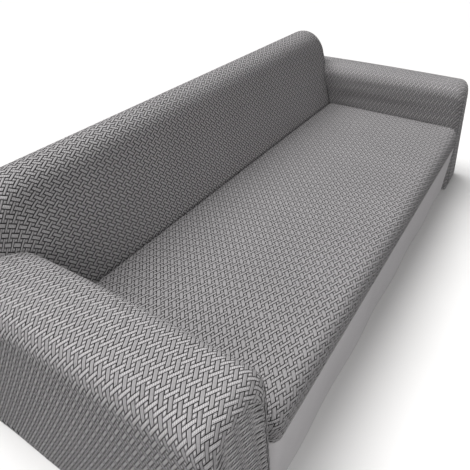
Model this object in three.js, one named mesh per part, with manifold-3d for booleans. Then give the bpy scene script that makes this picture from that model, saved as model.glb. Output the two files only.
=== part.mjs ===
// Fitted stretch cover for a three-seat sofa: a back panel, a seat panel, a front skirt and two
// arm panels, sewn edge to edge in the creases and open underneath. Each panel is a 3 mm sheet
// that keeps the shape of the sofa it is pulled over.
//
// Millimetres. +X runs along the sofa, +Y towards its back, +Z up, with the hem at z = 0 and the
// origin on the floor under the middle of the cover.

import * as THREE from 'three';
import { mergeVertices } from 'three/addons/utils/BufferGeometryUtils.js';
import Module from 'manifold-3d';

// ---- driving sizes ----

const CLOTH = 3;                 // thickness of every sheet
const SEAM = 0.2;                // each panel stops this far short of the line of a seam

const LENGTH = 2220;             // over both arms
const DEPTH = 946;               // front hem to rear hem
const ARM_WIDTH = 230;
const ARM_HEIGHT = 500;
const SEAT_HEIGHT = 330;
const BACK_HEIGHT = 660;

const FRONT = -DEPTH / 2;
const REAR = DEPTH / 2;
const END = LENGTH / 2;
const SEAT_END = END - ARM_WIDTH;        // the seat's crease with an arm

const seat = {
  front: FRONT + 15,             // the skirt's face, a little behind the foot of the arms
  crease: 189,                   // where the deck meets the back
  roll: 45,                      // radius of the rolled front edge
  tuck: 28,                      // radius at which the deck dives into the creases
  crown: 7,                      // the deck's rise in the middle
  skirtTop: 240,                 // the seam between the seat panel and the skirt
};

const arm = {
  foot: FRONT,                   // face of the arm at the hem
  outerLean: 0.108,              // how far the face leans back for each unit of height,
  innerLean: 0.085,              // less beside the seat, where the padding is fuller
  brow: 44,                      // radius from the top into the face
  edge: 26,                      // radius of the upright edges
  batter: 0.05,                  // how far the outer side spreads for each unit of depth
  outerRoll: 62,
  innerRoll: 50,
  crown: 3.5,                    // rise of the top across its width
  swell: 7,                      // how much fuller the padding is half way along,
  swellStart: 40,                // from this far above the seat
};

const back = {
  end: 975,                      // the back stops over the middle of each arm
  lean: 0.3187,                  // slope of the front face, which drops straight
  knee: 40,                      // from this far under the deck
  topRadius: 75,
  topCentre: 349,                // y of the middle of the rounded top
  shoulder: 150,                 // radius of the top corners
  frontEdge: 45,                 // radii of the upright edges
  rearEdge: 12,
};
const REAR_SLOPE = (REAR - back.topCentre - back.topRadius) / (BACK_HEIGHT - back.topRadius);

// The hem is drawn in unevenly: by up to twice the ripple, fading out at a height above the hem.
const hem = { ripple: 2.5, pitch: 410, fade: 240, armShare: 0.6 };

// Inside the seams a narrow allowance of cloth is left and the rest is open, so that the seat,
// the back and the arms share one hollow. Each value is how far the allowance reaches inside.
const allowance = { arm: 12, top: 38, seatFront: 90, armFront: 200, rear: 70, deckRear: 150 };

// ---- small helpers ----

const wasm = await Module();
wasm.setup();

const steps = (from, to, count) =>
  Array.from({ length: count + 1 }, (_, i) => from + ((to - from) * i) / count);

// How far a rounded edge has fallen away at a distance from its end plane.
function edgeDrop(distance, radius) {
  const left = Math.max(radius - distance, 0);
  return radius - Math.sqrt(Math.max(radius * radius - left * left, 0));
}

// Distances from an end plane that divide a rounded edge evenly, closest at the plane.
const edgeDistances = (radius, count) => steps(0, 1, count).map((t) => radius * t * t);

const smooth = (t) => {
  const k = Math.min(Math.max(t, 0), 1);
  return k * k * (3 - 2 * k);
};

// The hem is drawn in a little, more at some places than at others: a measure below or at zero
// that dies out towards the tight cloth above.
const ripple = (along, z) =>
  hem.ripple * (Math.sin((2 * Math.PI * along) / hem.pitch) - 1) * (1 - smooth(z / hem.fade));

function solidOf(vertices, triangles) {
  return new wasm.Manifold(new wasm.Mesh({
    numProp: 3,
    vertProperties: Float32Array.from(vertices),
    triVerts: Uint32Array.from(triangles),
  }));
}

// A closed solid through a row of equal loops of [x, y, z] points, with a fan over each end.
function loft(loops) {
  const size = loops[0].length;
  const points = loops.flat();
  const triangles = [];
  for (let i = 0; i + 1 < loops.length; i += 1) {
    for (let j = 0; j < size; j += 1) {
      const a = i * size + j;
      const b = i * size + ((j + 1) % size);
      triangles.push([a, b, b + size], [a, b + size, a + size]);
    }
  }
  [0, loops.length - 1].forEach((i) => {
    const loop = loops[i];
    const middle = [0, 1, 2].map((k) => loop.reduce((sum, p) => sum + p[k], 0) / size);
    points.push(middle);
    for (let j = 0; j < size; j += 1) {
      const a = i * size + j;
      const b = i * size + ((j + 1) % size);
      triangles.push(i === 0 ? [b, a, points.length - 1] : [a, b, points.length - 1]);
    }
  });
  const volume = triangles.reduce((sum, [a, b, c]) => {
    const [p, q, r] = [points[a], points[b], points[c]].map((v) => new THREE.Vector3(...v));
    return sum + p.dot(q.cross(r)) / 6;
  }, 0);
  const outward = volume > 0 ? triangles : triangles.map(([a, b, c]) => [a, c, b]);
  return solidOf(points.flat(), outward.flat());
}

function block([x0, x1], [y0, y1], [z0, z1]) {
  const box = new THREE.BoxGeometry(x1 - x0, y1 - y0, z1 - z0);
  box.translate((x0 + x1) / 2, (y0 + y1) / 2, (z0 + z1) / 2);
  box.deleteAttribute('normal');
  box.deleteAttribute('uv');
  const merged = mergeVertices(box);
  return solidOf(merged.attributes.position.array, merged.index.array);
}

// ---- the three forms ----
// Each takes an inset: 0 is the cloth's outer face, CLOTH its inner face.
// An inset form starts below the hem, so that the sheet is open underneath.

const below = (inset) => (inset > 0 ? -10 * inset : 0);
const rise = (inset, top, count) => [below(inset), ...steps(0, top, count).slice(1)];

// One arm: its cross-section, upright in XZ, runs from the leaning face to the sofa's rear.
function armForm(side, inset) {
  const outer = END - inset;
  const inner = SEAT_END + SEAM + inset;
  const run = REAR - arm.foot;
  const tilt = Math.atan(arm.batter);
  const face = edgeDistances(arm.brow, 6);
  const stations = [...face, ...steps(arm.brow, run - arm.brow, 9).slice(1, -1),
    ...face.map((distance) => run - distance).reverse()];

  const loops = stations.map((station) => {
    const distance = Math.min(station, run - station);
    const drop = edgeDrop(distance, arm.edge - inset);
    const swell = arm.swell * Math.sin((Math.PI * station) / run);
    const outerRoll = arm.outerRoll - inset;
    const innerRoll = arm.innerRoll - inset;
    const x0 = outer - drop;
    const x1 = inner + drop;
    const top = ARM_HEIGHT - inset - edgeDrop(distance, arm.brow - inset) + 0.5 * swell;
    const shoulderZ = top - outerRoll * (1 - Math.sin(tilt));
    const rollX = x0 - arm.batter * shoulderZ - outerRoll * Math.cos(tilt);
    const section = [];
    rise(inset, shoulderZ, 5).forEach((z) => {
      section.push([x0 - arm.batter * z + hem.armShare * ripple(station, z), z]);
    });
    steps(tilt, Math.PI / 2, 6).slice(1).forEach((t) => {
      section.push([rollX + outerRoll * Math.cos(t), top - outerRoll * (1 - Math.sin(t))]);
    });
    steps(rollX, x1 + innerRoll, 4).slice(1, -1).forEach((x) => {
      section.push([x, top + arm.crown]);
    });
    steps(Math.PI / 2, 0, 6).forEach((t) => {
      const x = x1 + innerRoll * (1 - Math.cos(t));
      section.push([x, top - innerRoll * (1 - Math.sin(t))]);
    });
    rise(inset, top - innerRoll, 5).reverse().slice(1).forEach((z) => {
      section.push([x1, z]);
    });
    return section.map(([x, z]) => {
      const aboveSeat = (z - SEAT_HEIGHT - arm.swellStart) / arm.swellStart;
      const fuller = x < (x0 + x1) / 2 ? -swell * smooth(aboveSeat) : 0;
      const across = (outer - x) / (outer - inner);
      const lean = arm.outerLean + (arm.innerLean - arm.outerLean) * across;
      const front = arm.foot + inset + lean * Math.max(z, 0);
      const rear = REAR - inset - REAR_SLOPE * Math.max(z, 0);
      return [side * (x + fuller), front + ((rear - front) * station) / run, z];
    });
  });
  return loft(loops);
}

// The back: a section upright in YZ, with a leaning face, a round top and a straight rear,
// carried from one end to the other, falling away at the shoulders.
function backForm(inset) {
  const end = back.end - inset;
  const low = seat.crease - back.lean * back.knee;
  const frontNormal = Math.atan(back.lean);
  const rearNormal = Math.atan(REAR_SLOPE);
  const shoulder = edgeDistances(back.shoulder, 8).map((distance) => distance - end);
  const stations = [...shoulder, ...steps(back.shoulder - end, end - back.shoulder, 14).slice(1, -1),
    ...shoulder.map((x) => -x).reverse()];

  const loops = stations.map((x) => {
    const distance = end - Math.abs(x);
    const front = edgeDrop(distance, back.frontEdge - inset) + inset;
    const rear = edgeDrop(distance, back.rearEdge - inset) + inset;
    const radius = back.topRadius - (front + rear) / 2;
    const top = BACK_HEIGHT - inset - edgeDrop(distance, back.shoulder - inset);
    const centre = [back.topCentre + (front - rear) / 2, top - radius];
    const brow = [centre[0] - radius * Math.cos(frontNormal), centre[1] + radius * Math.sin(frontNormal)];
    const foot = low + front;
    const knee = brow[1] - (brow[0] - foot) / back.lean;
    const section = [[foot, below(inset)], [foot, knee]];
    steps(knee, brow[1], 4).slice(1).forEach((z) => {
      section.push([foot + (z - knee) * back.lean, z]);
    });
    steps(Math.PI - frontNormal, rearNormal, 11).slice(1).forEach((t) => {
      section.push([centre[0] + radius * Math.cos(t), centre[1] + radius * Math.sin(t)]);
    });
    const [rearY, rearZ] = section.at(-1);
    rise(inset, rearZ, 4).reverse().slice(1).forEach((z) => {
      section.push([rearY + (rearZ - z) * REAR_SLOPE + ripple(x, z), z]);
    });
    return section.map(([y, z]) => [x, y, z]);
  });
  return loft(loops);
}

// The seat and its skirt: front face, rolled edge, crowned deck and the tuck into the back.
function seatForm(inset) {
  const end = SEAT_END - SEAM - inset;
  const tucks = edgeDistances(seat.tuck, 5).map((distance) => distance - end);
  const stations = [...tucks, ...steps(seat.tuck - end, end - seat.tuck, 16).slice(1, -1),
    ...tucks.map((x) => -x).reverse()];

  const loops = stations.map((x) => {
    const drop = edgeDrop(end - Math.abs(x), seat.tuck - inset);
    const top = SEAT_HEIGHT - inset - drop;
    const front = seat.front + inset + drop;
    const rear = seat.crease - inset;
    const roll = seat.roll - inset;
    const tuck = seat.tuck - inset;
    const section = [];
    rise(inset, seat.skirtTop, 4).forEach((z) => {
      section.push([front - ripple(x, z), z]);
    });
    steps(0, Math.PI / 2, 6).forEach((t) => {
      section.push([front + roll * (1 - Math.cos(t)), top - roll * (1 - Math.sin(t))]);
    });
    steps(front + roll, rear - tuck, 6).slice(1).forEach((y) => {
      section.push([y, top]);
    });
    steps(Math.PI / 2, 0, 4).slice(1).forEach((t) => {
      section.push([rear - tuck * (1 - Math.cos(t)), top - tuck * (1 - Math.sin(t))]);
    });
    section.push([rear, below(inset)]);
    return section.map(([y, z]) => {
      const deck = Math.sin(Math.PI * Math.min(Math.max((y - front) / (rear - front), 0), 1));
      const middle = 1 - (x / end) ** 2;
      return [x, y, z + (z > seat.skirtTop ? seat.crown * deck * middle : 0)];
    });
  });
  return loft(loops);
}

// ---- cutting the sheets ----

// What is open inside: under the deck, and from each arm into the back.
const UNDER = -50;
const deckCore = block([-END + ARM_WIDTH / 2, END - ARM_WIDTH / 2],
  [seat.front + allowance.seatFront, REAR - allowance.deckRear], [UNDER, SEAT_HEIGHT - allowance.top]);
const armCore = (side) => {
  const x = [side * (SEAT_END + allowance.arm), side * (END - allowance.arm)].sort((a, b) => a - b);
  return block(x, [FRONT + allowance.armFront, REAR - allowance.rear],
    [UNDER, ARM_HEIGHT - allowance.top]);
};
const core = deckCore.add(armCore(-1)).add(armCore(1));

const backClear = backForm(-2 * SEAM);
const backSheet = backForm(0).subtract(backForm(CLOTH)).subtract(core);
const seatSheet = seatForm(0).subtract(seatForm(CLOTH)).subtract(core).subtract(backClear);
const armSheet = (side) =>
  armForm(side, 0).subtract(armForm(side, CLOTH)).subtract(deckCore).subtract(backClear);

const everywhere = [-2 * END, 2 * END];
const aboveSkirt = block(everywhere, everywhere, [seat.skirtTop + SEAM, 2 * BACK_HEIGHT]);
const belowSeat = block(everywhere, everywhere, [UNDER, seat.skirtTop - SEAM]);

// ---- materials and meshes ----

const cloth = (name, colour) => {
  const material = new THREE.MeshStandardMaterial({ color: colour, roughness: 0.95, metalness: 0 });
  material.name = name;
  return material;
};
const jacquard = cloth('grey stretch jacquard', 0x8a8887);
const jersey = cloth('grey plain jersey', 0x8c8a8b);

function panel(name, solid, material) {
  const mesh = solid.getMesh();
  const geometry = new THREE.BufferGeometry();
  geometry.setAttribute('position', new THREE.BufferAttribute(mesh.vertProperties, 3));
  geometry.setIndex(new THREE.BufferAttribute(mesh.triVerts, 1));
  geometry.computeVertexNormals();
  const result = new THREE.Mesh(geometry, material);
  result.name = name;
  return result;
}

const cover = new THREE.Group();
cover.name = 'sofa_slipcover';
cover.add(panel('back_panel', backSheet, jacquard));
cover.add(panel('seat_panel', seatSheet.intersect(aboveSkirt), jacquard));
cover.add(panel('front_skirt', seatSheet.intersect(belowSeat), jersey));
cover.add(panel('arm_panel_left', armSheet(-1), jacquard));
cover.add(panel('arm_panel_right', armSheet(1), jacquard));

export default cover;
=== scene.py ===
import bpy
import numpy as np
from mathutils import Matrix, Vector


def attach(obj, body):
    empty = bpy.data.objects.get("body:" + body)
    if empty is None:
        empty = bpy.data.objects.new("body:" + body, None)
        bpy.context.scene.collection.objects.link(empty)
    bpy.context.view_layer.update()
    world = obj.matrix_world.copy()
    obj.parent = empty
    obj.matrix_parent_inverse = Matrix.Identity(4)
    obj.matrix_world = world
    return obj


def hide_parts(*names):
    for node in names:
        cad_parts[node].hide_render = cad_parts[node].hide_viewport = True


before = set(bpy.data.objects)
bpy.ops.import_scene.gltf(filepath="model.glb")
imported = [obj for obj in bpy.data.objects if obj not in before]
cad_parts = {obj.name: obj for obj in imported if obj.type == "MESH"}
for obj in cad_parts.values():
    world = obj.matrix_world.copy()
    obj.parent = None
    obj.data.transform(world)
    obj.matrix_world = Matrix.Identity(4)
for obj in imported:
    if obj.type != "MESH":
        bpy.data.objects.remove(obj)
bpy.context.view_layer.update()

# ---- Camera ----
# A camera on a tall tripod beyond the near arm, looking down along the sofa.
# It is level from side to side, and turned from the sofa's length.

TURN, TILT = np.radians(32.6), np.radians(36.39)
forward = np.array([np.cos(TILT) * np.cos(TURN), np.cos(TILT) * np.sin(TURN), -np.sin(TILT)])
right = np.array([np.sin(TURN), -np.cos(TURN), 0.0])
upward = np.cross(right, forward)
camera = bpy.data.objects.new("camera", bpy.data.cameras.new("camera"))
bpy.context.scene.collection.objects.link(camera)
EYE = (-1.383, -0.675, 1.21)
LENS, SENSOR = 35.83, 36            # mm
camera.matrix_world = Matrix(
    [[right[k], upward[k], -forward[k], EYE[k]] for k in range(3)] + [[0, 0, 0, 1]]
)
camera.data.lens = LENS
camera.data.sensor_width = SENSOR
camera.data.clip_end = 60
bpy.context.scene.camera = camera

# ---- Studio: floor and light ----
# A painted floor, broad soft light from above and a little behind the sofa, a small softbox
# at the near arm's corner, a larger one before the seat, and a pale room all round.

bpy.context.scene.view_settings.view_transform = "Standard"


def linear(colour):
    """A colour of three sRGB bytes, 0xrrggbb, as linear red, green, blue and alpha: each byte over
    255, then divided by 12.92 when it is at most 0.04045, else ((c + 0.055) / 1.055) ** 2.4."""
    c = np.array([colour >> 16, colour >> 8 & 255, colour & 255]) / 255
    return (*np.where(c <= 0.04045, c / 12.92, ((c + 0.055) / 1.055) ** 2.4).tolist(), 1.0)


def add(tree, kind, sockets=None, **settings):
    """Adds one node: settings are its own fields, and sockets maps each input, by name or number,
    to a value or to another node's output. Gives back the node."""
    made = tree.nodes.new("ShaderNode" + kind)
    for name, value in settings.items():
        setattr(made, name, value)
    for key, value in (sockets or {}).items():
        if isinstance(value, bpy.types.NodeSocket):
            tree.links.new(value, made.inputs[key])
        else:
            made.inputs[key].default_value = value
    return made


def new_material(name):
    """An empty node material, and its tree."""
    made = bpy.data.materials.new(name)
    made.use_nodes = True
    made.node_tree.nodes.clear()
    return made, made.node_tree


# Matt floor paint: even and pale, with the faint mottling of a roller.
floor_paint, tree = new_material("matt floor paint")
place = add(tree, "TexCoord").outputs["Object"]
mottle = add(tree, "TexNoise", {"Vector": place, "Scale": 3.0, "Detail": 3.0}).outputs["Fac"]
tint = add(tree, "MixRGB", {"Fac": mottle, 1: linear(0xEDECEB), 2: linear(0xF2F1F0)})
shader = add(tree, "BsdfPrincipled", {
    "Base Color": tint.outputs[0], "Roughness": 0.9, "Specular IOR Level": 0.2,
})
add(tree, "OutputMaterial", {"Surface": shader.outputs[0]})

FLOOR_REACH = 9.0
floor_mesh = bpy.data.meshes.new("floor")
floor_mesh.from_pydata(
    [(x * FLOOR_REACH, y * FLOOR_REACH, -0.001) for x, y in ((-1, -1), (1, -1), (1, 1), (-1, 1))],
    [], [(0, 1, 2, 3)],
)
floor_mesh.materials.append(floor_paint)
floor = bpy.data.objects.new("floor", floor_mesh)
bpy.context.scene.collection.objects.link(floor)
floor.visible_diffuse = False       # it throws no light back up onto the cloth

world = bpy.data.worlds.new("pale room")
world.use_nodes = True
world.node_tree.nodes["Background"].inputs["Color"].default_value = linear(0xF4F4F6)
world.node_tree.nodes["Background"].inputs["Strength"].default_value = 0.14
bpy.context.scene.world = world


def lamp(name, kind, position, target, power, **settings):
    """A light at a position in metres, facing a target. Its power is in watts, or in watts on each
    square metre for a sun."""
    light = bpy.data.lights.new(name, kind)
    light.energy = power
    for key, value in settings.items():
        setattr(light, key, value)
    made = bpy.data.objects.new(name, light)
    bpy.context.scene.collection.objects.link(made)
    aim = Vector(target) - Vector(position)
    made.matrix_world = Matrix.Translation(position) @ aim.to_track_quat("-Z", "Y").to_matrix().to_4x4()


lamp("overhead light", "SUN", (-0.3, 1.5, 3.0), (0.0, 0.0, 0.0), 3.8, angle=np.radians(50))
lamp("side softbox", "AREA", (-1.8, -1.6, 0.9), (-1.0, -0.4, 0.25), 12, size=1.2)
lamp("front softbox", "AREA", (0.9, -2.6, 0.6), (0.3, -0.4, 0.2), 13, size=1.6)

# ---- Seat panel ----
# Stretch jacquard over the deck: it rolls over the front edge down to the skirt's seam and dives
# into the creases beside the arms and the back. Its raised bars run in two directions with
# small diamonds between them; the grain lies a little off the sofa's length.

MM = 0.001
CLOTH = 3.0             # thickness of every sheet, in mm as are all sizes below
GROOVE = 1.6            # depth of the grooves between the bars
SEAM = 0.2              # each panel stops this far short of a seam's line
SEAT_END = 879.8
SEAT_FRONT, SEAT_CREASE, SEAT_TOP = -458.0, 189.0, 330.0
SEAT_ROLL, SEAT_TUCK, SEAT_CROWN = 45.0, 28.0, 7.0
SKIRT_TOP = 240.0
BACK_LEAN = 0.3187      # slope of the back's front face
CREASE_GAP = 1.0        # clearance of a trimmed edge from the cloth it meets
QUARTER = np.pi / 2


def soft_step(t):
    """0 below 0, 1 above 1, and 3 t^2 - 2 t^3 between."""
    k = np.clip(t, 0, 1)
    return k * k * (3 - 2 * k)


def seat_surface(a, b):
    """a runs along the sofa and b from the skirt's seam up over the roll and back to the crease,
    both in mm of cloth. Across the ends the section keeps its shape but shrinks by a drop that
    follows a quarter circle of the tuck's radius; along b it is a straight face, a quarter
    circle, a straight deck with a sine crown, and a quarter circle down into the crease."""
    beyond = np.abs(a) - (SEAT_END - SEAT_TUCK)
    turn = np.clip(beyond / SEAT_TUCK, 0, QUARTER)
    x = np.sign(a) * (np.minimum(np.abs(a), SEAT_END - SEAT_TUCK) + SEAT_TUCK * np.sin(turn))
    drop = SEAT_TUCK * (1 - np.cos(turn)) + np.maximum(beyond - SEAT_TUCK * QUARTER, 0)
    front, top = SEAT_FRONT + drop, SEAT_TOP - drop
    face = SEAT_TOP - SEAT_ROLL - SKIRT_TOP
    deck = SEAT_CREASE - SEAT_TUCK - SEAT_FRONT - SEAT_ROLL
    roll_start, deck_start = face, face + SEAT_ROLL * QUARTER
    roll = np.clip((b - roll_start) / SEAT_ROLL, 0, QUARTER)
    on_deck = np.clip((b - deck_start) / deck, 0, 1)
    tuck_start = deck_start + deck
    tuck = np.clip((b - tuck_start) / SEAT_TUCK, 0, QUARTER)
    down = np.maximum(b - tuck_start - SEAT_TUCK * QUARTER, 0)
    y = front + SEAT_ROLL * (1 - np.cos(roll)) + SEAT_TUCK * np.sin(tuck)
    y += on_deck * (SEAT_CREASE - SEAT_TUCK - front - SEAT_ROLL)
    z = SKIRT_TOP + (top - SEAT_ROLL - SKIRT_TOP) * np.minimum(b / face, 1)
    z += SEAT_ROLL * np.sin(roll) - SEAT_TUCK * (1 - np.cos(tuck)) - down
    arch = np.sin(np.pi * np.clip((y - front) / (SEAT_CREASE - front), 0, 1))
    z += SEAT_CROWN * arch * (1 - (x / SEAT_END) ** 2)
    return np.stack([x, y, z], axis=-1)


def cut(points, triangles, owner, side):
    """Splits every triangle that the line side = 0 crosses, where side is a value at each point.
    The lone corner on one side keeps a triangle, and the other two share a four-sided piece."""
    above = side[triangles] > 0
    count = above.sum(1)
    crossed = (count == 1) | (count == 2)
    rows = triangles[crossed]
    lone = np.argmax(above[crossed] == (count[crossed] == 1)[:, None], axis=1)
    first, second, third = np.take_along_axis(rows, (lone[:, None] + np.arange(3)) % 3, 1).T
    ends = np.sort(np.stack([np.r_[first, first], np.r_[second, third]], 1), 1)
    keys, which = np.unique(ends[:, 0] * len(points) + ends[:, 1], return_inverse=True)
    low, high = keys // len(points), keys % len(points)
    share = (side[low] / (side[low] - side[high]))[:, None]
    near, far = (len(points) + which.reshape(2, -1))
    added = np.concatenate([
        np.stack([first, near, far], 1), np.stack([near, second, third], 1), np.stack([near, third, far], 1),
    ])
    return (
        np.concatenate([points, points[low] + share * (points[high] - points[low])]),
        np.concatenate([triangles[~crossed], added]),
        np.concatenate([owner[~crossed], np.tile(owner[crossed], 3)]),
        np.concatenate([side, np.zeros(len(keys))]),
        np.unique(owner[crossed]),
    )


# One bar, or one diamond, in cells of the weave: along it, across it. The rim is the bottom of
# the grooves round it and its points are corners of cells; the top is raised and flat. A bar
# that lies over a bend has a top with as many points along it as its rim. A peak is a diamond
# with a pointed top, for cloth that has too many of them for flat ones.
SIDE = 0.11             # how far the top stops short of the rim
BAR_RIM = [(-1.5, -.5), (-.5, -.5), (.5, -.5), (1.5, -.5), (1.5, .5), (.5, .5), (-.5, .5), (-1.5, .5)]
STUD_RIM = [(-.5, -.5), (.5, -.5), (.5, .5), (-.5, .5)]
BAR_TOP = [(-1.5 + SIDE, -.5 + SIDE), (-.5, -.5 + SIDE), (.5, -.5 + SIDE), (1.5 - SIDE, -.5 + SIDE),
           (1.5 - SIDE, .5 - SIDE), (.5, .5 - SIDE), (-.5, .5 - SIDE), (-1.5 + SIDE, .5 - SIDE)]


def ring(count):
    """The walls from a rim of count points up to a top of as many points."""
    return [tri for i in range(count) for j in [(i + 1) % count]
            for tri in [(i, j, count + j), (i, count + j, count + i)]]


SHAPES = {
    "straight": {
        "rim": BAR_RIM, "top": [BAR_TOP[k] for k in (0, 3, 4, 7)],
        "faces": [(0, 1, 8), (1, 9, 8), (1, 2, 9), (2, 3, 9), (3, 4, 9), (4, 10, 9), (4, 5, 10),
                  (5, 11, 10), (5, 6, 11), (6, 7, 11), (7, 0, 11), (0, 8, 11), (8, 9, 10), (8, 10, 11)],
    },
    "bent": {
        "rim": BAR_RIM, "top": BAR_TOP,
        "faces": ring(8) + [(8, 9, 15), (9, 14, 15), (9, 10, 14), (10, 13, 14), (10, 11, 13), (11, 12, 13)],
    },
    "diamond": {
        "rim": STUD_RIM,
        "top": [(-.5 + SIDE, -.5 + SIDE), (.5 - SIDE, -.5 + SIDE),
                (.5 - SIDE, .5 - SIDE), (-.5 + SIDE, .5 - SIDE)],
        "faces": ring(4) + [(4, 5, 6), (4, 6, 7)],
    },
    "peak": {
        "rim": STUD_RIM, "top": [(0, 0)], "faces": [(0, 1, 4), (1, 2, 4), (2, 3, 4), (3, 0, 4)],
    },
}
RIGHT_BAR, CROSS_BAR, DIAMOND = 0, 1, 2
BEND = np.cos(np.radians(20))       # a bar is bent where the cloth under it turns by more
CREASE = np.radians(40)             # edges sharper than this are drawn sharp


def woven_sheet(name, surface, reach, weave, drops, material, stud="diamond", relief=True):
    """A closed sheet of cloth from its flat cut. The flat cut is covered with the cells of the
    weave, whose two steps are right and cross: cell (r, c) lies at r * right + c * cross. Where
    any of the drops is positive the cloth is cut away. The outer face then gets its raised bars
    and diamonds wherever they are whole, the inner face is the plain cells, one thickness
    inside, and a narrow rim joins the two faces all round."""
    basis = np.array(weave).T
    to_cells = np.linalg.inv(basis)
    (a0, a1), (b0, b1) = reach
    limits = to_cells @ np.array([[a0, a1, a1, a0], [b0, b0, b1, b1]])
    first = np.floor(limits.min(1)).astype(int) - 2
    r, c = (g.ravel() for g in np.meshgrid(*[np.arange(f, l + 3) for f, l in zip(
        first, np.ceil(limits.max(1)).astype(int))], indexing="ij"))
    wide = c.max() - c.min() + 2
    centre = (basis @ np.stack([r, c])).T
    slack = np.abs(basis).sum(1)
    near = ((centre > [a0, b0] - slack) & (centre < [a1, b1] + slack)).all(1)
    r, c = r[near], c[near]

    def corner(r2, c2):
        return (r2 - first[0]) * wide + (c2 - first[1])

    quads = np.stack([corner(r, c), corner(r + 1, c), corner(r + 1, c + 1), corner(r, c + 1)], 1)
    triangles = np.concatenate([quads[:, [0, 1, 2]], quads[:, [0, 2, 3]]])
    owner = np.tile(np.arange(len(r)), 2)
    names, triangles = np.unique(triangles, return_inverse=True)
    triangles = triangles.reshape(-1, 3)
    number = np.full(names.max() + 1, -1)
    number[names] = np.arange(len(names))
    points = (basis @ np.stack([names // wide + first[0] - 0.5, names % wide + first[1] - 0.5])).T

    whole = np.ones(len(r), bool)
    edges_of_cut = [
        lambda a, b, p: a0 - a, lambda a, b, p: a - a1, lambda a, b, p: b0 - b, lambda a, b, p: b - b1,
    ]
    for drop in edges_of_cut + drops:
        side = drop(points[:, 0], points[:, 1], surface(points[:, 0], points[:, 1]))
        points, triangles, owner, side, cut_cells = cut(points, triangles, owner, side)
        gone = side[triangles].sum(1) > 0
        whole[cut_cells] = False
        whole[owner[gone]] = False
        triangles, owner = triangles[~gone], owner[~gone]

    # which bar each cell belongs to, and its middle: bars are centred on even cells, and take the
    # cells on both sides of it, along cross where the sum of r and c is a multiple of four and
    # along right elsewhere; cells with both numbers odd are the diamonds
    bar_r, bar_c = r - (r % 2), c - (c % 2)
    across_pair = lambda r2, c2: (r2 + c2) % 4 == 0
    odd_r, odd_c = r % 2 == 1, c % 2 == 1
    kind = np.where(odd_r & odd_c, DIAMOND, np.where(odd_c, CROSS_BAR, RIGHT_BAR))
    both_even = ~odd_r & ~odd_c
    kind[both_even] = np.where(across_pair(r, c)[both_even], CROSS_BAR, RIGHT_BAR)
    bar_c = np.where(odd_c & ~odd_r & ~across_pair(r, bar_c), bar_c + 2, bar_c)
    bar_r = np.where(odd_r & ~odd_c & across_pair(bar_r, c), bar_r + 2, bar_r)
    bar_r, bar_c = np.where(kind == DIAMOND, r, bar_r), np.where(kind == DIAMOND, c, bar_c)

    # a bar is raised where all its cells are whole
    where = np.zeros((r.max() - first[0] + 4, c.max() - first[1] + 4), bool)
    where[r - first[0] + 1, c - first[1] + 1] = whole
    dr = np.where(kind == RIGHT_BAR, 1, 0)
    dc = np.where(kind == CROSS_BAR, 1, 0)
    i, j = bar_r - first[0] + 1, bar_c - first[1] + 1
    i, j = np.clip(i, 1, where.shape[0] - 2), np.clip(j, 1, where.shape[1] - 2)
    raised = where[i, j] & where[i - dr, j - dc] & where[i + dr, j + dc] & relief
    middle = (r == bar_r) & (c == bar_c)

    # the plain mesh in space, with a normal at each point
    used, triangles = np.unique(triangles, return_inverse=True)
    triangles = triangles.reshape(-1, 3)
    renumber = np.full(len(points), -1)
    renumber[used] = np.arange(len(used))
    points = points[used]
    place = surface(points[:, 0], points[:, 1])
    facing = np.cross(place[triangles[:, 1]] - place[triangles[:, 0]],
                      place[triangles[:, 2]] - place[triangles[:, 0]])
    normal = np.stack([
        np.bincount(triangles.ravel(), np.repeat(facing[:, k], 3), len(points)) for k in range(3)
    ], 1)
    normal /= np.maximum(np.linalg.norm(normal, axis=1), 1e-9)[:, None]

    plain = ~raised[owner]
    outer_faces, outer_owner = [triangles[plain]], [owner[plain]]
    flat, spots = [points], [place - (GROOVE if relief else 0) * normal]
    count = 2 * len(points)
    for shape in ("straight", "bent", stud):
        rules = SHAPES[shape]
        cells = np.flatnonzero(raised & middle & ((kind == DIAMOND) == (shape == stud)))
        rim, top = np.array(rules["rim"]), np.array(rules["top"])
        if not len(cells):
            continue
        cross = kind[cells] == CROSS_BAR

        def on_cloth(local):
            along, over = local[:, 0], local[:, 1]
            rr = np.where(cross[:, None], r[cells][:, None] - over, r[cells][:, None] + along)
            cc = np.where(cross[:, None], c[cells][:, None] + along, c[cells][:, None] + over)
            return rr, cc

        rr, cc = on_cloth(rim)
        low = renumber[number[corner(np.rint(rr + 0.5).astype(int), np.rint(cc + 0.5).astype(int))]]
        lean = normal[low]
        bent = (lean * lean[:, :1]).sum(2).min(1) < BEND
        if shape != stud:
            chosen = bent if shape == "bent" else ~bent
            cells, cross, low, lean = cells[chosen], cross[chosen], low[chosen], lean[chosen]
            if not len(cells):
                continue
        rr, cc = on_cloth(top)
        spot = np.einsum("ij,jkl->kli", basis, np.stack([rr, cc]))
        flat.append(spot.reshape(-1, 2))
        spots.append(surface(*flat[-1].T))
        high = count + np.arange(len(cells) * len(top)).reshape(len(cells), -1)
        count += high.size
        faces = np.concatenate([low, high], 1)[:, np.array(rules["faces"])]
        outer_faces.append(faces.reshape(-1, 3))
        outer_owner.append(np.repeat(cells, len(rules["faces"])))
    outer, outer_owner = np.concatenate(outer_faces), np.concatenate(outer_owner)

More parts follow.
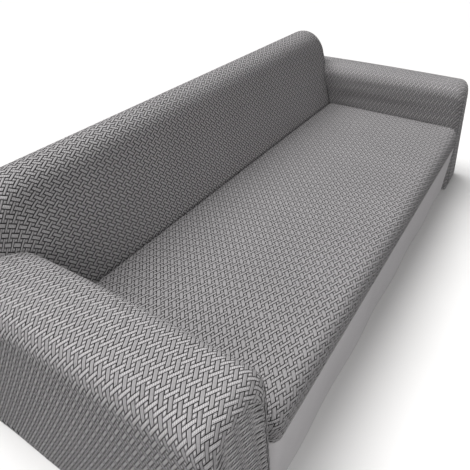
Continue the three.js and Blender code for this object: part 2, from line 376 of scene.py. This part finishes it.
    # the inner face, and the rim between them along every edge that only one triangle uses
    inner = triangles[:, ::-1] + len(points)
    ways = np.concatenate([triangles[:, [0, 1]], triangles[:, [1, 2]], triangles[:, [2, 0]]])
    key = np.sort(ways, 1) @ np.array([len(points), 1])
    _, start, uses = np.unique(key, return_index=True, return_counts=True)
    edge = ways[start[uses == 1]]
    rims = np.concatenate([
        np.stack([edge[:, 1], edge[:, 0], edge[:, 0] + len(points)], 1),
        np.stack([edge[:, 1], edge[:, 0] + len(points), edge[:, 1] + len(points)], 1),
    ])
    spots.insert(1, place - CLOTH * normal)
    flat.insert(1, points)
    flat, spots = np.concatenate(flat), np.concatenate(spots)
    spots[:, 2] = np.maximum(spots[:, 2], 0)
    faces = np.concatenate([outer, inner, rims])

    mesh = bpy.data.meshes.new(name)
    mesh.from_pydata((spots * MM).tolist(), [], faces.tolist())

    # each corner of the outer face knows its place on its bar, in mm along and across it
    corners = to_cells @ flat[outer.ravel()].T
    who = np.repeat(outer_owner, 3)
    dr, dc = corners[0] - bar_r[who], corners[1] - bar_c[who]
    cross = kind[who] == CROSS_BAR
    area = abs(np.linalg.det(basis))
    steps = np.linalg.norm(basis, axis=0)
    along = np.where(cross, dc * steps[1], dr * steps[0])
    across = np.where(cross, -dr * area / steps[1], dc * area / steps[0])
    half = np.where(kind[who] == DIAMOND, 0.5, 1.5) * np.where(cross, steps[1], steps[0])
    width = np.where(cross | (kind[who] == DIAMOND), -area / steps[1], area / steps[0]) / 2
    rest = 3 * (len(inner) + len(rims))
    on_bar = np.zeros((3 * len(faces), 3), np.float32)
    on_bar[:len(who)] = np.stack([along, across, half], 1)
    on_bar[len(who):, 2] = half.mean()
    mesh.attributes.new("on_bar", "FLOAT_VECTOR", "CORNER").data.foreach_set("vector", on_bar.ravel())
    half_width = np.zeros(3 * len(faces), np.float32)
    half_width[:len(who)] = width
    mesh.attributes.new("half_width", "FLOAT", "CORNER").data.foreach_set("value", half_width)

    # the flat cut as a map: the outer face on the larger part, the inner face in a strip above it
    size = np.array([a1 - a0, b1 - b0])
    laid = (flat[faces.ravel()] - [a0, b0]) / size.max()
    spread = 0.9 * laid
    hidden = np.arange(len(laid)) >= len(who)
    on_outer = (faces.ravel() < len(points)) | (faces.ravel() >= 2 * len(points))
    spread[hidden] = laid[hidden] * [0.9, 0.06] + [0, 0.92]
    spread[hidden & on_outer] += [0, 0.01]
    spread = np.clip(spread + 0.004, 0, 1).astype(np.float32)
    mesh.uv_layers.new(name="OFBake").data.foreach_set("uv", spread.ravel())

    mesh.polygons.foreach_set("use_smooth", np.ones(len(faces), bool))
    mesh.set_sharp_from_angle(angle=CREASE)
    mesh.materials.append(material)
    mesh.validate()
    made = bpy.data.objects.new(name, mesh)
    bpy.context.scene.collection.objects.link(made)
    return made


# Stretch jacquard of matt polyester yarn, warm grey. Every bar is a float of yarn: the right
# bars are smooth with fine lines along them, the cross bars are beaded. The dark of the grooves and between
# the strands and beads is painted shade.
def jacquard_cloth(name, groove, pale, parted, faded, beside_right):
    """The cloth of one panel. The grooves are painted shade, darker by the distance from the rim
    of a bar, and the tops are rounded and carry the lines or beads of their yarn, with painted
    shade between the strands. groove is the two distances in mm where the painted shade begins to
    lift and where it has gone, pale the share of pale yarn, parted how far the right bars and the
    cross bars open along their middle, in painted shade and bump, faded how much darker the right
    bars are, and beside_right how far the grooves along the right bars keep their painted shade:
    the pull of the cloth closes them."""
    made, tree = new_material(name)
    place = add(tree, "TexCoord").outputs["Object"]
    spot = add(tree, "SeparateXYZ", {0: add(tree, "Attribute", attribute_name="on_bar").outputs["Vector"]})
    along, across, half = spot.outputs
    half_width = add(tree, "Attribute", attribute_name="half_width").outputs["Fac"]
    calc = lambda operation, *values: add(
        tree, "Math", dict(enumerate(values)), operation=operation).outputs[0]
    ramp = lambda value, low, high: add(
        tree, "MapRange", {"Value": value, 1: low, 2: high}, interpolation_type="SMOOTHSTEP").outputs[0]
    is_cross = calc("LESS_THAN", half_width, 0.0)
    off_middle = calc("ABSOLUTE", across)
    to_end = calc("SUBTRACT", half, calc("ABSOLUTE", along))
    to_side = calc("SUBTRACT", calc("ABSOLUTE", half_width), off_middle)
    choose = lambda if_right, if_cross: calc(
        "MULTIPLY_ADD", is_cross, calc("SUBTRACT", if_cross, if_right), if_right)
    from_cross, from_right = choose(to_end, to_side), choose(to_side, to_end)
    clear = lambda low, high: calc("MULTIPLY", ramp(from_cross, low, high), calc(
        "MULTIPLY_ADD", calc("SUBTRACT", ramp(from_right, low, high), 1.0), beside_right, 1.0))

    # the parted middle of a bar: painted shade together with the grooves, and a dip in the bump
    opening = calc("MULTIPLY_ADD", is_cross, parted[1] - parted[0], parted[0])
    closed = calc("MULTIPLY", opening, calc("SUBTRACT", 1.0, ramp(off_middle, 0.2, 1.0)))
    on_top = calc("MULTIPLY", clear(*groove), calc("SUBTRACT", 1.0, closed))
    lines = calc("COSINE", calc("MULTIPLY", across, 2 * np.pi / YARN_LINES))
    beads = calc("COSINE", calc("MULTIPLY", along, 2 * np.pi / YARN_BEADS))
    beaded = calc("MULTIPLY", calc("ADD", lines, beads), 0.5)
    yarns = add(tree, "MixRGB", {"Fac": is_cross, 1: calc("MULTIPLY", lines, 0.25), 2: beaded}).outputs[0]
    hairs = add(tree, "TexNoise", {"Vector": place, "Scale": 900.0, "Detail": 2.0}).outputs["Fac"]
    height = calc("ADD", calc("MULTIPLY", on_top, 0.5), calc("MULTIPLY", clear(0.2, 3.4), 0.8))
    height = calc("ADD", height, calc("MULTIPLY", calc("MULTIPLY", yarns, on_top), 0.4))
    height = calc("ADD", height, calc("MULTIPLY", hairs, 0.25))
    bump = add(tree, "Bump", {"Height": height, "Strength": 1.0, "Distance": 0.0012})

    worn = add(tree, "TexNoise", {"Vector": place, "Scale": 5.0, "Detail": 3.0}).outputs["Fac"]
    fine = add(tree, "TexNoise", {"Vector": place, "Scale": 260.0, "Detail": 2.0}).outputs["Fac"]
    shade = calc("ADD", calc("MULTIPLY", worn, 0.16), calc("MULTIPLY", fine, 0.28))
    # the lines and beads darken the yarn between its strands: painted shade, as well as bump
    shade = calc("MULTIPLY_ADD", yarns, 0.7, calc("ADD", shade, pale))
    shade = calc("SUBTRACT", shade, calc("MULTIPLY", calc("SUBTRACT", 1.0, is_cross), faded))
    lit = add(tree, "MixRGB", {"Fac": shade, 1: linear(YARN[0]), 2: linear(YARN[1])}).outputs[0]
    # painted shade: the grooves and the parted middles of the bars take the dark groove colour
    colour = add(tree, "MixRGB", {"Fac": on_top, 1: linear(PAINTED_GROOVE_SHADE), 2: lit}).outputs[0]
    shader = add(tree, "BsdfPrincipled", {
        "Base Color": colour, "Roughness": 0.82, "Specular IOR Level": 0.25,
        "Sheen Weight": 0.12, "Sheen Roughness": 0.5, "Normal": bump.outputs[0],
    })
    add(tree, "OutputMaterial", {"Surface": shader.outputs[0]})
    return made


YARN_LINES, YARN_BEADS = 3.2, 4.6       # mm; about four times the real yarn, or it wouldn't show
YARN = (0x828081, 0xD6D3D4)             # the dark and the pale end of the grey yarn
# painted shade: the colour of the grooves and of the parted middles of the bars
PAINTED_GROOVE_SHADE = 0x242222


# The back is already needed here, because the seat panel ends where it meets the back.
BACK_END, BACK_TOP, TOP_CENTRE, TOP_RADIUS = 975.0, 660.0, 349.0, 75.0
SHOULDER, BACK_FRONT_EDGE, BACK_REAR_EDGE = 150.0, 45.0, 12.0
REAR = 473.0
REAR_SLOPE = (REAR - TOP_CENTRE - TOP_RADIUS) / (BACK_TOP - TOP_RADIUS)
FRONT_ANGLE, REAR_ANGLE = np.arctan(BACK_LEAN), np.arctan(REAR_SLOPE)
FRONT_ARC = TOP_RADIUS * (QUARTER - FRONT_ANGLE)
REAR_ARC = TOP_RADIUS * (QUARTER - REAR_ANGLE)


def fall(distance, radius):
    """How far a rounded edge has fallen away at a distance from its end: a quarter circle."""
    left = np.clip(radius - distance, 0, radius)
    return radius - np.sqrt(radius ** 2 - left ** 2)


def back_section(x):
    """The sizes of the back's section at x: how far a quarter-circle shoulder has lowered it, and
    the radius and middle of its round top, which the rounded upright edges draw in."""
    distance = np.maximum(BACK_END - np.abs(x), 0)
    front, rear = fall(distance, BACK_FRONT_EDGE), fall(distance, BACK_REAR_EDGE)
    return fall(distance, SHOULDER), TOP_RADIUS - (front + rear) / 2, TOP_CENTRE + (front - rear) / 2


def back_face(x, z):
    """y of the back's front face at a height: on the straight face, or on the arc above it."""
    lowered, radius, middle = back_section(x)
    centre = BACK_TOP - lowered - radius
    brow = centre + radius * np.sin(FRONT_ANGLE)
    on_face = middle - radius * np.cos(FRONT_ANGLE) - (brow - z) * BACK_LEAN
    on_arc = middle - np.sqrt(np.maximum(radius ** 2 - (z - centre) ** 2, 0))
    return np.where(z < brow, on_face, on_arc)


SEAT_WEAVE = ((6.7, 5.7), (-10.8, 4.0))
SEAT_RETURN = 26.0      # cloth past the line of the ends, down into the crease
SEAT_LENGTH = 742.0     # from the skirt's seam to below the back

# Pulled along the sofa: its right bars lie flat and close together, and its cross bars open.
seat_cloth = jacquard_cloth(
    "grey stretch jacquard, seat",
    groove=(0.7, 1.45), pale=0.26, parted=(0.0, 0.5), faded=0.3, beside_right=0.15,
)
seat = woven_sheet(
    "seat_cloth", seat_surface,
    ((-SEAT_END - SEAT_RETURN, SEAT_END + SEAT_RETURN), (SEAM, SEAT_LENGTH)), SEAT_WEAVE,
    [lambda a, b, p: p[:, 1] - back_face(p[:, 0], p[:, 2]) + CREASE_GAP],
    seat_cloth,
)
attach(seat, "root")
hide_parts("seat_panel")

# ---- Front skirt ----
# Plain grey stretch jersey, smooth beside the jacquard, from the seat panel's seam to the hem.

HEM_RIPPLE, HEM_PITCH, HEM_FADE = 2.5, 410.0, 240.0


def hem_ripple(along, z):
    """How far the hem is drawn in: a sine along the hem, never outwards, that fades out above it."""
    return HEM_RIPPLE * (1 - np.sin(2 * np.pi * along / HEM_PITCH)) * (1 - soft_step(z / HEM_FADE))


def skirt_surface(a, b):
    """a runs along the front and round both ends by a quarter circle, b is the height."""
    beyond = np.abs(a) - (SEAT_END - SEAT_TUCK)
    turn = np.clip(beyond / SEAT_TUCK, 0, QUARTER)
    x = np.sign(a) * (np.minimum(np.abs(a), SEAT_END - SEAT_TUCK) + SEAT_TUCK * np.sin(turn))
    y = SEAT_FRONT + SEAT_TUCK * (1 - np.cos(turn)) + np.maximum(beyond - SEAT_TUCK * QUARTER, 0)
    return np.stack([x, y + hem_ripple(x, b), b], axis=-1)


SKIRT_RETURN = 70.0                 # cloth round each end, in beside the arm
PLAIN_GRID = ((10, 0), (0, 10))     # it has no weave to show, so its cells are plain squares

# Fine plain jersey: even and smooth, with faint upright ribs, drawn coarser than real ones. Its pale grey is
# partly the jersey's own lighter yarn and partly painted light on a front face turned from the main light.
jersey, tree = new_material("grey plain jersey")
place = add(tree, "TexCoord").outputs["Object"]
ribs = add(tree, "TexWave", {"Vector": place, "Scale": 130.0, "Distortion": 0.6, "Detail": 1.0},
           wave_type="BANDS", bands_direction="X").outputs["Fac"]
cloudy = add(tree, "TexNoise", {"Vector": place, "Scale": 7.0, "Detail": 4.0}).outputs["Fac"]
# pale grey: partly the jersey's own colour, partly painted light on the front face
tint = add(tree, "MixRGB", {"Fac": cloudy, 1: linear(0xC6C3C4), 2: linear(0xD3D0D1)})
bump = add(tree, "Bump", {"Height": ribs, "Strength": 0.5, "Distance": 0.0003})
shader = add(tree, "BsdfPrincipled", {
    "Base Color": tint.outputs[0], "Roughness": 0.8, "Specular IOR Level": 0.25,
    "Sheen Weight": 0.1, "Sheen Roughness": 0.5, "Normal": bump.outputs[0],
})
add(tree, "OutputMaterial", {"Surface": shader.outputs[0]})

skirt = woven_sheet(
    "skirt_cloth", skirt_surface,
    ((-SEAT_END - SKIRT_RETURN, SEAT_END + SKIRT_RETURN), (0, SKIRT_TOP - SEAM)), PLAIN_GRID,
    [], jersey, relief=False,
)
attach(skirt, "root")
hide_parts("front_skirt")

# ---- Back panel ----
# One length of jacquard up the leaning face of the back, over its round top and down the rear to
# the hem. It falls away in a round shoulder at each end, over the middle of the arm.

def back_surface(a, b):
    """a runs along the ridge and round the shoulders, b from the ridge: negative down the front
    face, positive down the rear. The section is an arc between two straight tangents, and the
    shoulder lowers it by a quarter circle while its edges round off in plan."""
    beyond = np.abs(a) - (BACK_END - SHOULDER)
    turn = np.clip(beyond / SHOULDER, 0, QUARTER)
    x = np.sign(a) * (np.minimum(np.abs(a), BACK_END - SHOULDER) + SHOULDER * np.sin(turn))
    drop = SHOULDER * (1 - np.cos(turn)) + np.maximum(beyond - SHOULDER * QUARTER, 0)
    _, radius, middle = back_section(x)
    fore = np.clip(-b / FRONT_ARC, 0, 1) * (QUARTER - FRONT_ANGLE)
    aft = np.clip(b / REAR_ARC, 0, 1) * (QUARTER - REAR_ANGLE)
    angle = fore - aft
    down_front, down_rear = np.maximum(-b - FRONT_ARC, 0), np.maximum(b - REAR_ARC, 0)
    y = middle - radius * np.sin(angle) - down_front * np.sin(FRONT_ANGLE) + down_rear * np.sin(REAR_ANGLE)
    z = BACK_TOP - drop - radius * (1 - np.cos(angle))
    z -= down_front * np.cos(FRONT_ANGLE) + down_rear * np.cos(REAR_ANGLE)
    y -= np.where(down_rear > 0, hem_ripple(x, z), 0)
    return np.stack([x, y, z], axis=-1)


BACK_WEAVE = ((8.7, 4.5), (-5.9, 6.0))
RIDGE_END = BACK_END - SHOULDER + SHOULDER * QUARTER
BACK_RETURN = 30.0                          # cloth past the end of the ridge
NECK_FRONT, NECK_REAR = 70.0, 85.0          # it is only this wide there, each way from the ridge
FRONT_DROP, REAR_DROP = 440.0, 716.0        # from the ridge down the front and the rear
SEAT_LINE, ARM_RISE = 297.0, 173.0          # the front's lower edge, and its step up over the arms
STEP_AT, STEP_RUN = 884.0, 8.0

# Little pulled: both kinds of bar are alike, and every groove stays open.
back_cloth = jacquard_cloth(
    "grey stretch jacquard, back",
    groove=(0.8, 1.7), pale=0.38, parted=(0.1, 0.2), faded=0.1, beside_right=1.0,
)
back = woven_sheet(
    "back_cloth", back_surface,
    ((-RIDGE_END - BACK_RETURN, RIDGE_END + BACK_RETURN), (-FRONT_DROP, REAR_DROP)), BACK_WEAVE,
    [
        lambda a, b, p: np.where(
            b < 0, SEAT_LINE + ARM_RISE * soft_step((np.abs(p[:, 0]) - STEP_AT) / STEP_RUN), 0) - p[:, 2],
        lambda a, b, p: np.minimum(np.abs(a) - RIDGE_END, np.maximum(-NECK_FRONT - b, b - NECK_REAR)),
    ],
    back_cloth, stud="peak",
)
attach(back, "root")
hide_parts("back_panel")

# ---- Arm panels ----
# One piece of jacquard over each arm: up the outer side, over the padded top and down beside the
# seat, and on over the brow down the front and down the rear. A dart runs up each corner.

ARM_OUTER, ARM_INNER, ARM_TOP = 1110.0, 880.2, 500.0
ARM_FOOT, ARM_RUN = -473.0, 946.0
OUTER_LEAN, INNER_LEAN = 0.108, 0.085
BROW, EDGE, OUTER_ROLL, INNER_ROLL = 44.0, 26.0, 62.0, 50.0
BATTER = 0.05           # slope of the outer side, which spreads towards the hem
BATTER_ANGLE = np.arctan(BATTER)
ARM_CROWN, CROWN_OVERLAP, CROWN_RUN, CROWN_FADE = 3.5, 8.0, 35.0, 60.0
SWELL, SWELL_START, SWELL_RUN, SWELL_IN = 7.0, 40.0, 60.0, 21.0
RIPPLE_SHARE = 0.6
ON_TOP = 0.903          # length of the arm's top for each unit of length at the hem
BROW_CLOTH = BROW * QUARTER
TOP_CLOTH = (ARM_RUN - 2 * BROW) * ON_TOP
ARM_CLOTH = TOP_CLOTH + 2 * BROW_CLOTH
WIDTH = ARM_OUTER - ARM_INNER
ROLL_LOW = OUTER_ROLL * (1 - np.sin(BATTER_ANGLE))      # the outer roll's height
ROLL_IN = BATTER * (ARM_TOP - ROLL_LOW) + OUTER_ROLL * np.cos(BATTER_ANGLE)
FLAT_HALF = (WIDTH - ROLL_IN - INNER_ROLL) / 2
MIDLINE = ROLL_IN + FLAT_HALF               # from the foot of the outer side to the middle of the top
OUTER_ARC = OUTER_ROLL * (QUARTER - BATTER_ANGLE)
DART_OUT = -(FLAT_HALF - EDGE + BATTER * BROW + OUTER_ARC / 2)
DART_IN = FLAT_HALF - EDGE + INNER_ROLL * QUARTER / 2
FACE_CLOTH, FACE_CUT = 450.0, 455.0         # an end face from the brow to the hem, and its cut
NOTCH = 975.4
NOTCH_ACROSS = ARM_OUTER - NOTCH - MIDLINE


def over_arm(across, top, drop):
    """The arch of cloth over an arm, from the middle of its top: straight, an arc, and straight
    down on each side, the outer side sloping. Gives the distance from the foot of the outer side,
    and the height."""
    length, outside = np.abs(across), across < 0
    radius, tilt = np.where(outside, OUTER_ROLL, INNER_ROLL), np.where(outside, BATTER_ANGLE, 0)
    flat = FLAT_HALF - drop + np.where(outside, BATTER * (ARM_TOP - top), 0)
    turn = np.clip((length - flat) / radius, 0, QUARTER - tilt)
    down = np.maximum(length - flat - radius * (QUARTER - tilt), 0)
    out = np.minimum(length, flat) + radius * np.sin(turn) + np.sin(tilt) * down
    return MIDLINE + np.sign(across) * out, top - radius * (1 - np.cos(turn)) - np.cos(tilt) * down


def end_face(across, down, out_limit, in_limit, in_line, floor_in):
    """The cloth on an end of the arm, as a blend of its four edges: the arch above, the outer and
    inner edges beside it, and the hem. Gives the distance from the outer side, and the height."""
    k, m = (across - out_limit) / (in_limit - out_limit), down / FACE_CLOTH
    top_u, top_z = over_arm(across, ARM_TOP - BROW, EDGE)
    out_u, out_z = over_arm(out_limit - m * OUT_DROP, ARM_TOP - BROW, EDGE)
    in_u, in_z = in_line(m)
    hem_u = EDGE + k * (floor_in - EDGE)
    (p_u, p_z), (q_u, q_z) = [over_arm(np.float64(s), ARM_TOP - BROW, EDGE) for s in (out_limit, in_limit)]
    u = (1 - m) * top_u + m * hem_u + (1 - k) * out_u + k * in_u
    u -= (1 - m) * ((1 - k) * p_u + k * q_u) + m * ((1 - k) * EDGE + k * floor_in)
    z = (1 - m) * top_z + (1 - k) * out_z + k * in_z - (1 - m) * ((1 - k) * p_z + k * q_z)
    return u, z


OUT_DROP = OUTER_ARC / 2 + (ARM_TOP - BROW - ROLL_LOW) / np.cos(BATTER_ANGLE)
IN_DROP = INNER_ROLL * QUARTER / 2 + ARM_TOP - BROW - INNER_ROLL


def arm_surface(side):
    """The surface of one arm; side is -1 at negative x and 1 at positive x."""
    def surface(a, b):
        """a runs across the arm and b along it, from the top of the front face to the rear.
        The arch over the arm is lowered at both ends along a quarter circle, its sides
        round off in plan, and below both ends the cloth goes on down the end faces."""
        across = -side * a
        edge_way = np.clip(np.minimum(b, ARM_CLOTH - b), 0, BROW_CLOTH)
        near_end = BROW * (1 - np.cos(edge_way / BROW))
        station = np.where(
            b < BROW_CLOTH, near_end,
            np.where(b > ARM_CLOTH - BROW_CLOTH, ARM_RUN - near_end, BROW + (b - BROW_CLOTH) / ON_TOP))
        distance = np.minimum(station, ARM_RUN - station)
        swell = SWELL * np.sin(np.pi * station / ARM_RUN)
        drop = fall(distance, EDGE)
        top = ARM_TOP - fall(distance, BROW) + swell / 2
        u, z = over_arm(across, top, drop)
        u = u + RIPPLE_SHARE * np.where(across < DART_OUT, hem_ripple(station, z), 0)
        above_seat = soft_step((z - SEAT_TOP - SWELL_START) / SWELL_START)
        inner_half = soft_step((across + MIDLINE - WIDTH / 2 + SWELL_IN) / SWELL_RUN)
        u = u + swell * above_seat * inner_half
        z = z + ARM_CROWN * soft_step((FLAT_HALF - drop + CROWN_OVERLAP - np.abs(across)) / CROWN_RUN)

        front_u, front_z = end_face(
            across, -b, DART_OUT, DART_IN,
            lambda m: over_arm(DART_IN + m * IN_DROP, ARM_TOP - BROW, EDGE), WIDTH - EDGE)
        rear_u, rear_z = end_face(
            across, b - ARM_CLOTH, DART_OUT, NOTCH_ACROSS,
            lambda m: (np.full_like(m, ARM_OUTER - NOTCH), (ARM_TOP - BROW) * (1 - m)), ARM_OUTER - NOTCH)
        crown = ARM_CROWN * soft_step((FLAT_HALF - EDGE + CROWN_OVERLAP - np.abs(across)) / CROWN_RUN)
        in_front, behind = b < 0, b > ARM_CLOTH
        u = np.where(in_front, front_u, np.where(behind, rear_u, u))
        z = np.where(in_front, front_z + crown * np.clip(1 + b / CROWN_FADE, 0, 1), z)
        z = np.where(behind, rear_z + crown * np.clip(1 - (b - ARM_CLOTH) / CROWN_FADE, 0, 1), z)
        lean = OUTER_LEAN + (INNER_LEAN - OUTER_LEAN) * u / WIDTH
        front = ARM_FOOT + lean * np.maximum(z, 0)
        rear = REAR - REAR_SLOPE * np.maximum(z, 0)
        y = front + (rear - front) * np.clip(station, 0, ARM_RUN) / ARM_RUN
        return np.stack([side * (ARM_OUTER - u), y, z], axis=-1)

    return surface


HIDDEN_FROM, HIDDEN_UNDER = -372.0, 300.0   # the inner side has no cloth behind and under these
HIDDEN_IN = 50.0


def arm_drops(side):
    """Where an arm's flat cut is cut away: under the hem, outside the four darts, behind the seat
    and skirt, and where the back stands in the arm's place."""
    across = lambda a: -side * a
    return [
        lambda a, b, p: -p[:, 2],
        lambda a, b, p: np.minimum(-b, DART_OUT - across(a)),
        lambda a, b, p: np.minimum(-b, across(a) - DART_IN),
        lambda a, b, p: np.minimum(b - ARM_CLOTH, DART_OUT - across(a)),
        lambda a, b, p: np.minimum(b - ARM_CLOTH, across(a) - NOTCH_ACROSS),
        lambda a, b, p: np.minimum(
            np.minimum(p[:, 1] - HIDDEN_FROM, HIDDEN_UNDER - p[:, 2]), across(a) - HIDDEN_IN),
        lambda a, b, p: np.minimum(
            NOTCH - np.abs(p[:, 0]), p[:, 1] - back_face(p[:, 0], p[:, 2]) + CREASE_GAP),
    ]


ARM_WEAVE = ((8.3, 4.88), (-9.24, 4.88))
ARM_HALF_CUT = 600.0    # more than the cloth over an arm and down both sides: the hem cuts it

# Pulled a little over the arm: its right bars are darker and show two strands each.
arm_cloth = jacquard_cloth(
    "grey stretch jacquard, arms",
    groove=(0.65, 1.35), pale=0.4, parted=(0.35, 0.15), faded=0.3, beside_right=0.8,
)
for side, hand in ((-1, "left"), (1, "right")):
    made = woven_sheet(
        f"arm_cloth_{hand}", arm_surface(side),
        ((-ARM_HALF_CUT, ARM_HALF_CUT), (-FACE_CUT, ARM_CLOTH + FACE_CUT)), ARM_WEAVE,
        arm_drops(side), arm_cloth,
    )
    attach(made, "root")
    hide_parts(f"arm_panel_{hand}")
